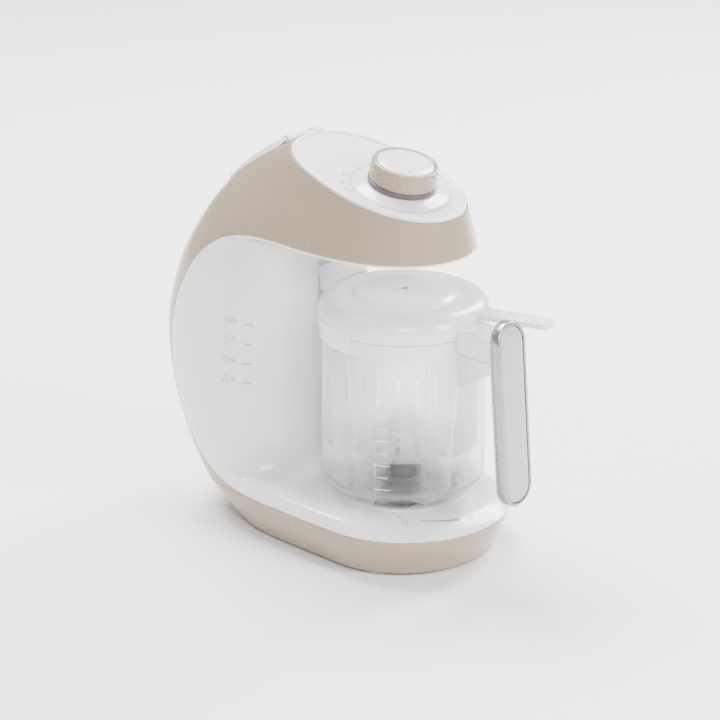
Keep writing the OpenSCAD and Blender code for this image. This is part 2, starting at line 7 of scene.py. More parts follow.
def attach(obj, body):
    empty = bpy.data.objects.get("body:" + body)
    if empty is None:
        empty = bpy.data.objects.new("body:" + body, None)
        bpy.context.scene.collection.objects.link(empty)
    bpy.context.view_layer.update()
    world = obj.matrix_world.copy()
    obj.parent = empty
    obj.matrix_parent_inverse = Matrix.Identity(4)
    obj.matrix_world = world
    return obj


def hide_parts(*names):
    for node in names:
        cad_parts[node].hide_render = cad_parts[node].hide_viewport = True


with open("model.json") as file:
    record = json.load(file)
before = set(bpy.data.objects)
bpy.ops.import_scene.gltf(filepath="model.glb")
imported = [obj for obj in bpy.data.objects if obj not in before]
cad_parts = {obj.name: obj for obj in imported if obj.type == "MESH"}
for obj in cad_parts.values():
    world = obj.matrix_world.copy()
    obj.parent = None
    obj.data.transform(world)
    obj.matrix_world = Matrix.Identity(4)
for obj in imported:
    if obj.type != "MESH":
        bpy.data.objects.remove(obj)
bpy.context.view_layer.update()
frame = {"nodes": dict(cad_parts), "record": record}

J = -44.66            # jug axis in the row frame, mm
PI = math.pi
rad = math.radians

# ------------------------------------------------------------------ smooth tables
def pchip(x, xs, ys):
    xs, ys, x = np.asarray(xs, float), np.asarray(ys, float), np.asarray(x, float)
    h = np.diff(xs); d = np.diff(ys) / h
    m = np.zeros(len(xs)); m[0], m[-1] = d[0], d[-1]
    for i in range(1, len(xs) - 1):
        if d[i - 1] * d[i] > 0:
            w1, w2 = 2 * h[i] + h[i - 1], h[i] + 2 * h[i - 1]
            m[i] = (w1 + w2) / (w1 / d[i - 1] + w2 / d[i])
    x = np.clip(x, xs[0], xs[-1])
    k = np.clip(np.searchsorted(xs, x, side="right") - 1, 0, len(h) - 1)
    t = (x - xs[k]) / h[k]
    return ((2*t**3 - 3*t**2 + 1) * ys[k] + (t**3 - 2*t**2 + t) * h[k] * m[k]
            + (-2*t**3 + 3*t**2) * ys[k + 1] + (t**3 - t**2) * h[k] * m[k + 1])
def tab(t):
    a = np.array(t, float)
    return lambda z: pchip(z, a[:, 0], a[:, 1])
W = tab([[2,66],[10,69.2],[20,72.8],[31,75.5],[60,73.8],[100,71],[140,68.2],[180,65],[205,62.6],
      [222,60.5],[240,55.5],[255,50],[268,45.5],[280,41],[290,36]])
nz = tab([[0,3],[60,3.6],[128,4],[180,3.4],[222,2.6],[262,2.15],[290,2.1]])
y0 = tab([[0,50],[128,60],[180,50],[222,34],[262,28],[290,28]])
TTt = np.array([[31,-75.8],[33,-72.8],[35.5,-68],[38,-61.5],[40,-54],[41.2,-47],[41.8,-38],[42.2,20],
      [42.8,38],[44,46],[47,53],[52,58.5],[60,62],[75,64.5],[100,65],[222,65]], float)
CT = tab([[31,-0.3],[35.5,15],[40,40],[41.8,70],[42.2,90],[44,102],[52,110],[75,115],[222,115]])
BCY, BCZ, BR = 45.3, 135.0, 154.7
TILT = rad(13.6); TK = math.tan(TILT); PZ0 = 260.2; KV = 4.3
def yb(z): return BCY + np.sqrt(np.maximum(0, BR*BR - (z - BCZ)**2))
def yf(z): return -49.6 + 0.24*(z - 222)
def sp(v, p): return np.sign(v) * np.abs(v)**p
def hp(a, z, t=0.0):
    a, z = np.broadcast_arrays(np.asarray(a, float), np.asarray(z, float))
    c, s = np.cos(a), np.sin(a)
    n = np.where(s >= 0, nz(z), 2.1)
    b = np.where(s >= 0, yb(z) - t - y0(z), y0(z) - yf(z) - t)
    return np.stack([(W(z) - t)*sp(c, 2/n), y0(z) + b*sp(s, 2/n), z], -1)
def bp(a, z, t=0.0):
    a, z = np.broadcast_arrays(np.asarray(a, float), np.asarray(z, float))
    c, s = np.cos(a), np.sin(a)
    n = np.where(s >= 0, nz(z), 2.0); cf = 2.3 - 2.6*(z - 2)/29; w = W(z) - t
    back = np.stack([w*sp(c, 2/n), y0(z) + (yb(z) - t - y0(z))*sp(np.maximum(s, 0), 2/n), z], -1)
    front = np.stack([w*c, cf + w*s, z], -1)
    return np.where((s >= 0)[..., None], back, front)
bz_c, bz_h = 126.5, 95.5
def yB(z):
    u = np.minimum(1, np.abs((z - bz_c)/bz_h)); e = np.where(z < bz_c, 1/3.2, 1/2.9)
    return 50 + 125*np.maximum(0, 1 - u*u)**e
def aB(z):
    v = (yB(z) - y0(z))/(yb(z) - y0(z))
    return np.where(v <= 0, 0, np.arcsin(np.clip(v, 0, 1)**(nz(z)/2)))
def fbk(y, z, t):
    v = np.minimum(1, np.maximum(0, y - y0(z))/(yb(z) - t - y0(z)))
    return np.maximum(0, 1 - v**nz(z))**(1/nz(z))
def ztop(a, t, d):
    lo = np.full(a.shape, 223.0); hi = np.full(a.shape, 289.0)
    for _ in range(34):
        m = (lo + hi)/2; p = hp(a, m, t)
        up = m > PZ0 - d/math.cos(TILT) + TK*p[..., 1]
        hi = np.where(up, m, hi); lo = np.where(up, lo, m)
    return (lo + hi)/2
def outline(t, N=240, d=0.0):
    a = np.linspace(0, 2*PI, N, endpoint=False)
    p = hp(a, ztop(a, t, d), t)
    return np.stack([p[:, 0], p[:, 1]/math.cos(TILT) + d*math.tan(TILT)], -1)
def panel(P):                      # panel coordinates to jug-frame mm
    P = np.asarray(P, float); c, s = math.cos(TILT), math.sin(TILT)
    return np.stack([P[..., 0], c*P[..., 1] - s*P[..., 2], PZ0 + s*P[..., 1] + c*P[..., 2]], -1)
def knob(P):
    P = np.array(P, float); P[..., 1] += KV
    return panel(P)
GL = rad(-4.96); GY, GZ = -98.6, 123.3
def grip(P):
    P = np.array(P, float); P[..., 2] -= 3.2*(P[..., 1]/65.5)**2
    y, z = -P[..., 2], P[..., 1]
    return np.stack([P[..., 0], GY + y*math.cos(GL) - z*math.sin(GL), GZ + y*math.sin(GL) + z*math.cos(GL)], -1)

# ------------------------------------------------------------------ mesh helpers
def gridf(n, m, closed=False):
    mj = m if closed else m - 1
    return [(i*m + j, i*m + (j+1) % m, (i+1)*m + (j+1) % m, (i+1)*m + j) for i in range(n-1) for j in range(mj)]
def weld(V, F):
    key, rep, out = {}, [], []
    for i, p in enumerate(np.round(V, 4)):
        k = tuple(p);
        if k not in key: key[k] = len(out); out.append(i)
        rep.append(key[k])
    G = []
    for f in F:
        g = [rep[i] for i in f]; h = [v for i, v in enumerate(g) if v != g[i-1]]
        if len(set(h)) > 2: G.append(tuple(h))
    return out, G
def thick(Vo, Vi, F):
    Vo, Vi = np.asarray(Vo, float).reshape(-1, 3), np.asarray(Vi, float).reshape(-1, 3)
    keep, F = weld(Vo, F); Vo, Vi = Vo[keep], Vi[keep]
    n = len(Vo); E = set()
    for f in F:
        for i in range(len(f)): E.add((f[i-1], f[i]))
    Q = [(b, a, a + n, b + n) for (a, b) in E if (b, a) not in E]
    Q.sort()
    return np.vstack([Vo, Vi]), list(F) + [tuple(i + n for i in reversed(f)) for f in F] + Q
def join(*parts):
    V, F, n = [], [], 0
    for v, f in parts:
        v = np.asarray(v, float).reshape(-1, 3); V.append(v); F += [tuple(i + n for i in g) for g in f]; n += len(v)
    return np.vstack(V), F
def new(name, VF, smooth=32, mergeup=True):
    V, F = VF
    V = np.array(V, float).reshape(-1, 3).copy(); V[:, 1] += J; V /= 1000
    me = bpy.data.meshes.new(name)
    me.from_pydata([tuple(float(c) for c in v) for v in V], [], [tuple(int(i) for i in f) for f in F])
    clean(me, smooth, mergeup)
    ob = bpy.data.objects.new(name, me); bpy.context.scene.collection.objects.link(ob)
    return ob
def clean(me, smooth, mergeup=True):
    bm = bmesh.new(); bm.from_mesh(me)
    if mergeup: bmesh.ops.remove_doubles(bm, verts=bm.verts, dist=2e-6)
    bmesh.ops.dissolve_degenerate(bm, edges=bm.edges, dist=1e-7)
    bmesh.ops.recalc_face_normals(bm, faces=bm.faces)
    for f in bm.faces: f.smooth = True
    for e in bm.edges:
        e.smooth = not (len(e.link_faces) == 2 and e.calc_face_angle(0) > rad(smooth))
    bm.to_mesh(me); bm.free(); me.update()
def give(ob, body, mat, slot, *nodes):
    ob.data.materials.clear(); ob.data.materials.append(mat)
    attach(ob, body)
    if nodes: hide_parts(*nodes)
    return ob
def cut(ob, cutters, smooth=32):
    for c in cutters:
        m = ob.modifiers.new("cut", "BOOLEAN"); m.operation = "DIFFERENCE"; m.solver = "EXACT"; m.object = c
        dg = bpy.context.evaluated_depsgraph_get()
        me = bpy.data.meshes.new_from_object(ob.evaluated_get(dg))
        ob.modifiers.clear(); old = ob.data; ob.data = me; bpy.data.meshes.remove(old)
        bpy.data.objects.remove(c)
    clean(ob.data, smooth)
def fillet(P, r, k=4, closed=True):
    P = np.asarray(P, float); out = []; n = len(P)
    for i in range(n):
        if not closed and i in (0, n-1): out.append(P[i]); continue
        a, b, c = P[i-1], P[i], P[(i+1) % n]
        ri = r[i] if hasattr(r, "__len__") else r
        la, lc = np.linalg.norm(a-b), np.linalg.norm(c-b); d = min(ri, 0.45*la, 0.45*lc)
        if d < 1e-3: out.append(b); continue
        p, q = b + (a-b)/la*d, b + (c-b)/lc*d
        for t in np.linspace(0, 1, k + 1): out.append((1-t)**2*p + 2*t*(1-t)*b + t*t*q)
    return np.array(out)
def lathe(P, seg=160, off=(0, 0), closed=True, a0=0.0, a1=2*PI, f=None):
    P = np.asarray(P, float); full = abs(a1 - a0 - 2*PI) < 1e-6
    A = np.linspace(a0, a1, seg, endpoint=False) if full else np.linspace(a0, a1, seg + 1)
    V = np.stack([np.outer(np.cos(A), P[:, 0]) + off[0], np.outer(np.sin(A), P[:, 0]) + off[1],
                  np.tile(P[:, 1], (len(A), 1))], -1)
    n, m = V.shape[:2]; F = []
    for i in range(n if full else n - 1):
        for j in range(m if closed else m - 1):
            F.append((i*m + j, ((i+1) % n)*m + j, ((i+1) % n)*m + (j+1) % m, i*m + (j+1) % m))
    if not full: F += [tuple(range(m)), tuple((n-1)*m + j for j in reversed(range(m)))]
    V = V.reshape(-1, 3)
    return (f(V) if f else V), F
def inset(P, d):
    P = np.asarray(P, float); a = P - np.roll(P, 1, 0); b = np.roll(P, -1, 0) - P
    a /= np.linalg.norm(a, axis=1)[:, None]; b /= np.linalg.norm(b, axis=1)[:, None]
    area = 0.5*np.sum(P[:, 0]*np.roll(P[:, 1], -1) - np.roll(P[:, 0], -1)*P[:, 1])
    s = 1 if area > 0 else -1
    na, nb_ = np.stack([-a[:, 1], a[:, 0]], 1)*s, np.stack([-b[:, 1], b[:, 0]], 1)*s
    n = na + nb_; n /= np.maximum(np.linalg.norm(n, axis=1), 1e-9)[:, None]
    k = np.maximum(np.sum(n*na, 1), 0.5)
    return P + n*(d/k)[:, None]
def prism(P, z0, z1, bev=0.6, f=None, top=None):
    q = [(bev, 0), (bev*.35, bev*.12), (bev*.12, bev*.35), (0, bev)]
    R = [np.column_stack([inset(P, d), np.full(len(P), z0 + h)]) for d, h in q] \
      + [np.column_stack([inset(P, d), np.full(len(P), z1 - h)]) for d, h in reversed(q)]
    n = len(P); V = np.vstack(R); F = gridf(len(R), n, True)
    F += [tuple(reversed(range(n))), tuple((len(R)-1)*n + i for i in range(n))]
    return (f(V) if f else V), F
def rrect(w, h, r, cx=0, cy=0, k=6):
    return fillet([[cx-w/2, cy-h/2], [cx+w/2, cy-h/2], [cx+w/2, cy+h/2], [cx-w/2, cy+h/2]], r, k)
def stadium(w, L, k=28):
    c = L/2 - w; a = np.linspace(0, PI, k + 1)
    return np.vstack([np.column_stack([w*np.cos(a), c + w*np.sin(a)]), np.column_stack([w*np.cos(a + PI), -c + w*np.sin(a + PI)])])
def loft(rows, f=None):
    n = len(rows[0]); V = np.vstack(rows); F = gridf(len(rows), n, True)
    F += [tuple(reversed(range(n))), tuple((len(rows)-1)*n + i for i in range(n))]
    return (f(V) if f else V), F
def pipe(P, r, k=12):
    P = np.asarray(P, float); T = np.gradient(P, axis=0); T /= np.linalg.norm(T, axis=1)[:, None]
    rows = []; up = np.array([0, 0, 1.0]) if abs(T[0][2]) < 0.9 else np.array([1.0, 0, 0])
    for p, t in zip(P, T):
        up = up - t*np.dot(up, t); up /= np.linalg.norm(up); s = np.cross(t, up)
        a = np.linspace(0, 2*PI, k, endpoint=False)
        rows.append(p + r*(np.cos(a)[:, None]*up + np.sin(a)[:, None]*s))
    return loft(rows)
def smooth_curve(P, n):
    P = np.asarray(P, float); s = np.r_[0, np.cumsum(np.linalg.norm(np.diff(P, axis=0), axis=1))]
    t = np.linspace(0, s[-1], n)
    return np.column_stack([pchip(t, s, P[:, i]) for i in range(P.shape[1])])

# ------------------------------------------------------------------ materials
def mat(name, col, rough=0.35, var=0.03, scale=60.0, bump=0.02, bscale=900.0, metal=0.0, trans=0.0, ior=1.46,
        coat=0.0, coat_r=0.05, stretch=None, rvar=0.05, sss=0.0, spec=0.5, alpha=1.0):
    m = bpy.data.materials.new(name); m.use_nodes = True
    nt = m.node_tree; N = nt.nodes; Lk = nt.links; b = N["Principled BSDF"]
    tc = N.new("ShaderNodeTexCoord"); mp = N.new("ShaderNodeMapping")
    if stretch: mp.inputs["Scale"].default_value = stretch
    Lk.new(tc.outputs["Object"], mp.inputs["Vector"])
    n1 = N.new("ShaderNodeTexNoise"); n1.inputs["Scale"].default_value = scale; n1.inputs["Detail"].default_value = 4
    Lk.new(mp.outputs["Vector"], n1.inputs["Vector"])
    cr = N.new("ShaderNodeValToRGB"); e = cr.color_ramp.elements
    e[0].position, e[1].position = 0.3, 0.7
    e[0].color = [max(0, c*(1 - var)) for c in col] + [1]; e[1].color = [min(1, c*(1 + var)) for c in col] + [1]
    Lk.new(n1.outputs["Fac"], cr.inputs["Fac"]); Lk.new(cr.outputs["Color"], b.inputs["Base Color"])
    n2 = N.new("ShaderNodeTexNoise"); n2.inputs["Scale"].default_value = scale*3.1; n2.inputs["Detail"].default_value = 3
    Lk.new(mp.outputs["Vector"], n2.inputs["Vector"])
    mr = N.new("ShaderNodeMapRange"); mr.inputs["To Min"].default_value = max(0.0, rough - rvar); mr.inputs["To Max"].default_value = min(1, rough + rvar)
    Lk.new(n2.outputs["Fac"], mr.inputs["Value"]); Lk.new(mr.outputs["Result"], b.inputs["Roughness"])
    n3 = N.new("ShaderNodeTexNoise"); n3.inputs["Scale"].default_value = bscale; n3.inputs["Detail"].default_value = 3
    Lk.new(mp.outputs["Vector"], n3.inputs["Vector"])
    bu = N.new("ShaderNodeBump"); bu.inputs["Strength"].default_value = bump; bu.inputs["Distance"].default_value = 0.0004
    Lk.new(n3.outputs["Fac"], bu.inputs["Height"]); Lk.new(bu.outputs["Normal"], b.inputs["Normal"])
    b.inputs["Metallic"].default_value = metal; b.inputs["IOR"].default_value = ior
    b.inputs["Transmission Weight"].default_value = trans
    b.inputs["Coat Weight"].default_value = coat; b.inputs["Coat Roughness"].default_value = coat_r
    b.inputs["Alpha"].default_value = alpha
    b.inputs["Subsurface Weight"].default_value = sss; b.inputs["Subsurface Scale"].default_value = 0.004
    return m
M = {
 "beige_gloss": mat("beige_gloss", (0.35, 0.27, 0.19), 0.26, 0.02, 40, 0.006, 1400, coat=0.35, coat_r=0.12),
 "white_gloss": mat("white_gloss", (0.84, 0.84, 0.86), 0.24, 0.012, 40, 0.006, 1200, coat=0.5, coat_r=0.06),
 "white_matt": mat("white_matt", (0.83, 0.83, 0.85), 0.5, 0.02, 60, 0.05, 1800),
 "dark_plastic": mat("dark_plastic", (0.06, 0.058, 0.065), 0.42, 0.10, 120, 0.08, 1600),
 "knob_dark": mat("knob_dark", (0.10, 0.08, 0.085), 0.33, 0.05, 120, 0.05, 1600, coat=0.2),
 "silver": mat("silver", (0.36, 0.36, 0.38), 0.28, 0.03, 80, 0.03, 1500, metal=0.85),
 "insert_pink": mat("insert_pink", (0.52, 0.46, 0.45), 0.30, 0.02, 60, 0.02, 1400, coat=0.4),
 "clear_plastic": mat("clear_plastic", (0.985, 0.992, 0.998), 0.03, 0.004, 20, 0.01, 300, trans=1.0, ior=1.42, rvar=0.015, alpha=0.6),
 "bracket_tint": mat("bracket_tint", (0.84, 0.84, 0.92), 0.16, 0.02, 60, 0.02, 900, trans=0.4, ior=1.45, alpha=0.6),
 "steel": mat("steel", (0.62, 0.62, 0.64), 0.30, 0.06, 160, 0.10, 900, metal=1.0, stretch=(1, 1, 9)),
 "bright_steel": mat("bright_steel", (0.74, 0.74, 0.76), 0.14, 0.05, 220, 0.06, 1200, metal=1.0, stretch=(9, 1, 1)),
 "grey_plastic": mat("grey_plastic", (0.33, 0.33, 0.36), 0.4, 0.05, 100, 0.06, 1500),
 "rubber": mat("rubber", (0.5, 0.49, 0.47), 0.75, 0.06, 200, 0.2, 1500),
 "silicone": mat("silicone", (0.78, 0.79, 0.79), 0.45, 0.03, 90, 0.05, 1200, trans=0.25),
 "belt_rubber": mat("belt_rubber", (0.03, 0.03, 0.03), 0.7, 0.2, 200, 0.4, 900),
 "bronze": mat("bronze", (0.50, 0.33, 0.16), 0.38, 0.08, 300, 0.2, 1200, metal=1.0),
 "aluminium": mat("aluminium", (0.66, 0.66, 0.68), 0.42, 0.06, 200, 0.2, 900, metal=1.0),
 "board": mat("board", (0.02, 0.18, 0.07), 0.35, 0.12, 220, 0.15, 700, coat=0.4),
 "motor_metal": mat("motor_metal", (0.30, 0.30, 0.32), 0.38, 0.08, 180, 0.15, 500, metal=0.8, stretch=(1, 1, 14)),
}
P_print = mat("print_beige", (0.34, 0.25, 0.17), 0.45, 0.05, 300, 0.05, 2000)
P_pale = mat("print_pale", (0.44, 0.38, 0.33), 0.5, 0.04, 300, 0.05, 2000)
P_grey = mat("print_grey", (0.20, 0.19, 0.20), 0.45, 0.05, 300, 0.05, 2000)
M["basket_clear"] = mat("basket_clear", (0.975, 0.982, 0.99), 0.16, 0.006, 60, 0.05, 500, trans=0.8, ior=1.42, rvar=0.04, alpha=0.6)
P_line = mat("trim_cream", (0.88, 0.865, 0.83), 0.28, 0.02, 60, 0.02, 1200, coat=0.4)
P_frost = mat("frost_mark", (0.92, 0.93, 0.94), 0.6, 0.02, 300, 0.2, 2000)

rec = frame["record"]
slot_of = {s["node"]: s["material_slot"] for s in rec["subparts"]}
for n, o in frame["nodes"].items():
    o.data.materials.clear(); o.data.materials.append(M[slot_of[n]])

# ------------------------------------------------------------------ base band
A = np.linspace(0, 2*PI, 320, endpoint=False)
zb = np.r_[2, 2.15, 2.6, 3.3, np.linspace(5, 29.4, 16), 30.1, 30.55, 30.78, 30.85]
tb = np.r_[1.4, 0.85, 0.3, 0, np.zeros(16), 0.02, 0.14, 0.38, 0.7]
Vo = np.stack([bp(A, z, t) for z, t in zip(zb, tb)]); Vi = np.stack([bp(A, z, 3.0) for z in zb])
ob = new("base_band_skin", thick(Vo, Vi, gridf(len(zb), len(A), True)), 40)
c = new("cut_a", lathe([[0, 0], [6.1, 0], [6.1, 60], [0, 60]], 40, f=lambda V: np.stack([V[:, 0] + 38, 100 + V[:, 2], 14 - V[:, 1]], -1)))
cut(ob, [c], 40)
give(ob, "housing", M["beige_gloss"], "beige_gloss", "base_band")

# ------------------------------------------------------------------ white body: deck, side walls and column front in one skin
cnt = [10, 8, 8, 8, 7, 7, 8, 7, 7, 8, 8, 7, 8, 10, 64]
U = np.concatenate([np.linspace(i, i + 1, c, endpoint=False) for i, c in enumerate(cnt)] + [[15.0]])
zr = pchip(U, np.arange(16), TTt[:, 0]); tr = pchip(U, np.arange(16), TTt[:, 1])
zr = np.minimum(zr, 221.7); cr_ = CT(zr)
kk = pchip(zr, [31, 35, 44, 72, 222], [0, 1, 1, 0, 0])
S = np.linspace(-1, 1, 181)
def wgrid(t):
    z, tp, cf = zr[:, None], tr[:, None] + t, cr_[:, None]
    yy = yB(z) - 1; y = tp + (yy - tp)*S[None]**2
    v = np.clip(np.maximum(0, cf - y)/(cf - tp), 0, 1)
    x = np.sign(S)[None]*(W(z) - t)*fbk(y, z, t)*np.sqrt(1 - v*v)
    return np.stack([x, y, z - t*kk[:, None]*(t > 0) + 0*x], -1)
ob = new("white_body", thick(wgrid(0.0), wgrid(2.6), gridf(len(zr), len(S))), 30)
c1 = new("cut_a", lathe([[0, 20], [46.3, 20], [46.3, 60], [0, 60]], 200))
c2 = new("cut_b", prism(np.array([[-19.7, 30.0], [90, 30.0], [90, 85.6], [-19.7, 85.6]]), 163.1, 240, 0.01))
cut(ob, [c1, c2], 30)
give(ob, "housing", M["white_gloss"], "white_gloss", "deck", "side_panel_left", "side_panel_right", "column_front")
dg = bpy.context.evaluated_depsgraph_get()
white_bvh = BVHTree.FromObject(ob, dg)

# lip round the well, over the seat's own rim
give(new("well_lip", lathe(fillet([[44.1, 33.5], [45.9, 33.5], [45.9, 41.0], [47.0, 41.4], [47.0, 42.1], [45.2, 42.5], [44.1, 41.9]], 0.35, 4), 200)),
     "housing", M["white_gloss"], "white_gloss")

# ------------------------------------------------------------------ beige shell: head and round back
ab = float(aB(np.array(222.0))) + rad(0.01)
As = ab + (PI - 2*ab)*np.linspace(0, 1, 141); Af = (PI - ab) + (PI + 2*ab)*np.linspace(0, 1, 151)[1:-1]
Ah = np.r_[As, Af]
ztO, ztI = ztop(Ah, 0.0, 1.5), ztop(Ah, 2.6, 1.5)
hj = np.r_[0, 0.006, 0.015, 0.03, np.linspace(0.06, 1, 40)]
fr = np.r_[np.zeros(len(As)), np.clip(np.minimum(np.arange(1, 150), 150 - np.arange(1, 150))/8.0, 0, 1)]
VO, VI = [], []
for j in hj:
    tt = fr*{0: 0.75, 0.006: 0.35, 0.015: 0.1}.get(float(j), 0.0)
    p = np.array([hp(a, z, t) for a, z, t in zip(Ah, 222 + (ztO - 222)*j, tt)]); VO.append(p)
    VI.append(hp(Ah, 222 + (ztI - 222)*j, 2.6))
H = (np.vstack(VO), np.vstack(VI), gridf(len(hj), len(Ah), True))
th = np.linspace(-PI/2, PI/2, 150); SO, SI = [], []
for q in th:
    z = bz_c + bz_h*math.sin(q); z = 222.0 if q == th[-1] else z; tq = 0.05*min(1, (222 - z)/12)
    a0 = float(aB(np.array(z))) + rad(0.01); a = a0 + (PI - 2*a0)*np.linspace(0, 1, 141)
    SO.append(hp(a, z, tq)); SI.append(hp(a, z, 2.6))
n0 = len(H[0]); SF = [tuple(i + n0 for i in f) for f in gridf(len(th), 141)]
ob = new("shell_skin", thick(np.vstack([H[0]] + SO), np.vstack([H[1]] + SI), H[2] + SF), 35)
def radial(a, s, P):               # local +Z points outwards from the back's centre
    P = np.asarray(P, float); ca, sa = math.cos(rad(a)), math.sin(rad(a)); r = rad(a - 90)
    y, z = P[..., 1]*math.cos(r) - P[..., 2]*math.sin(r), P[..., 1]*math.sin(r) + P[..., 2]*math.cos(r)
    return np.stack([P[..., 0], BCY + s*ca + y, BCZ + s*sa + z], -1)
c = new("cut_a", lathe([[0, 0], [16.2, 0], [16.2, 50], [0, 50]], 72, f=lambda V: radial(54.5, BR - 30, V)))
PA, PS = rad(70.6), 154.9
hy, hz = BCY + PS*math.cos(PA), BCZ + PS*math.sin(PA)
c2 = new("cut_b", lathe([[0, -18], [3.4, -18], [3.4, 18], [0, 18]], 32, f=lambda V: np.stack([V[:, 2], hy + V[:, 0], hz + V[:, 1]], -1)))
cut(ob, [c, c2], 35)
give(ob, "housing", M["beige_gloss"], "beige_gloss", "head_shell", "back_shell")

# thin cream trim between the white walls, the shell and the head's lower edge
zc = bz_c + bz_h*np.sin(np.linspace(-PI/2*0.985, PI/2, 150)); sh = 0.8
ti = np.where(zc < 60, 0.95, 0.62); Lb = hp(PI - aB(zc) - rad(0.15), zc, ti); Rb = hp(aB(zc) + rad(0.15), zc, ti)
Fb = hp(np.linspace(PI - ab, 2*PI + ab, 170)[2:-2], 221.75, 0.7)
path = np.vstack([Lb[:-1], Fb, Rb[::-1][1:]])
give(new("border_trim", pipe(path, sh, 10), 60), "housing", P_line, "white_gloss")

# ------------------------------------------------------------------ control panel and rim
o = outline(4.15, 240); cen = np.array([0.0, (o[:, 1].max() + o[:, 1].min())/2])
rr = np.r_[np.linspace(0, 0.96, 24), 0.985, 1.0]
Vo = np.vstack([panel(np.column_stack([cen + (o - cen)*r, np.full(240, 0.0 if r < 1 else -0.12)])) for r in rr])
Vi = np.vstack([panel(np.column_stack([cen + (o - cen)*r, np.full(240, -2.6)])) for r in rr])
ob = new("panel_skin", thick(Vo, Vi, gridf(len(rr), 240, True)), 40)
c = new("cut_a", lathe([[0, -10], [5, -10], [5, 10], [0, 10]], 48, f=knob))
cut(ob, [c], 40)
give(ob, "housing", M["white_gloss"], "white_gloss", "control_panel")
prof = [(0.25, -1.3), (0.25, 0.0), (0.32, 0.4), (0.6, 0.78), (1.1, 0.98), (1.7, 1.0), (2.6, 0.93), (3.3, 0.72), (3.8, 0.4), (4.05, 0.05), (4.1, -0.4), (4.1, -1.3)]
R = [panel(np.column_stack([outline(d, 240), np.full(240, h)])) for d, h in prof]
V = np.vstack(R); F = gridf(len(R), 240, True) + [((len(R)-1)*240 + i, (len(R)-1)*240 + (i+1) % 240, (i+1) % 240, i) for i in range(240)]
bar = lathe(fillet([[1.25, -8.5], [2.2, -8.5], [2.2, 8.5], [1.25, 8.5]], 0.3, 3), 36, f=lambda V: np.stack([V[:, 2], hy + V[:, 0], hz + V[:, 1]], -1))
give(new("panel_rim_skin", join((V, F), bar), 50), "housing", M["white_gloss"], "white_gloss", "panel_rim")

# ------------------------------------------------------------------ strokes: thin printed marks laid on a surface
def marks(name, strokes, place, body, m, slot, h=0.10):
    parts = []
    for pts, w in strokes:
        P = np.asarray(pts, float); L = max(2, int(np.ceil(np.linalg.norm(np.diff(P, axis=0), axis=1).sum()/0.8)))
        s = np.r_[0, np.cumsum(np.linalg.norm(np.diff(P, axis=0), axis=1))]; t = np.linspace(0, s[-1], max(L, len(P)))
        t = np.unique(np.r_[t, s]); P = np.column_stack([np.interp(t, s, P[:, 0]), np.interp(t, s, P[:, 1])])
        w = np.interp(np.linspace(0, 1, len(P)), np.linspace(0, 1, len(w)), w) if hasattr(w, "__len__") else np.full(len(P), w)
        T = np.gradient(P, axis=0); T /= np.maximum(np.linalg.norm(T, axis=1), 1e-9)[:, None]; Nn = np.stack([-T[:, 1], T[:, 0]], 1)
        k = 3; G = np.stack([P + Nn*(w*c)[:, None] for c in np.linspace(-0.5, 0.5, k)], 1)
        top, low = place(G, h), place(G, -0.25)
        if top is None: continue
        parts.append(thick(top, low, gridf(len(P), k)))
    if parts: give(new(name, join(*parts), 40, False), body, m, slot)
def on_panel(G, h):
    return panel(np.concatenate([G, np.full(G.shape[:2] + (1,), h)], -1))
def arc(cx, cy, r, a0, a1, n=24):
    a = np.linspace(rad(a0), rad(a1), n); return np.column_stack([cx + r*np.cos(a), cy + r*np.sin(a)])
def on_side(G, h):                 # G holds (y, z) on the -X wall
    out = np.zeros(G.shape[:2] + (3,))
    for i in np.ndindex(G.shape[:2]):
        y, z = G[i]; p, n, _, _ = white_bvh.ray_cast(Vector((-0.12, (y + J)/1000, z/1000)), Vector((1, 0, 0)))
        if p is None: return None
        q = p + n*(h/1000*(1 if n.x < 0 else -1)); out[i] = (q.x*1000, q.y*1000 - J, q.z*1000)
    return out
def on_deck(G, h):                 # G holds (x, y) on the deck
    out = np.zeros(G.shape[:2] + (3,))
    for i in np.ndindex(G.shape[:2]):
        x, y = G[i]; p, n, _, _ = white_bvh.ray_cast(Vector((x/1000, (y + J)/1000, 0.08)), Vector((0, 0, -1)))
        if p is None: return None
        q = p + n*(h/1000*(1 if n.z > 0 else -1)); out[i] = (q.x*1000, q.y*1000 - J, q.z*1000)
    return out

# generic timer scale round the knob: a thin arc with ticks, and three plain symbols
st = [(arc(0, KV, 35.0, 195, 345, 60)[::1], 0.35), (arc(0, KV, 35.0, 10, 165, 60), 0.35)]
for i, a in enumerate(range(20, 161, 20)):
    st.append((np.array([[math.cos(rad(a))*36.0, KV + math.sin(rad(a))*36.0], [math.cos(rad(a))*38.2, KV + math.sin(rad(a))*38.2]]), 0.45))
marks("panel_scale", st, on_panel, "housing", P_grey, "dark_plastic")
def sym(cx, cy, kind):
    if kind == 0: return [(arc(cx, cy, 2.2, 0, 360, 30), 0.4), (np.array([[cx, cy], [cx, cy + 1.5]]), 0.4), (np.array([[cx, cy], [cx + 1.1, cy]]), 0.4)]
    if kind == 1: return [(np.array([[cx + d + 0.5*math.sin(t), cy - 2 + 4*t/6.28] for t in np.linspace(0, 6.28, 14)]), 0.4) for d in (-1.4, 0, 1.4)]
    return [(arc(cx, cy, 1.6, 0, 360, 24), 0.45)]
marks("panel_symbols", sym(-36, 20, 0) + sym(-31, 30, 1) + sym(-22, 37, 2), on_panel, "housing", P_grey, "dark_plastic")

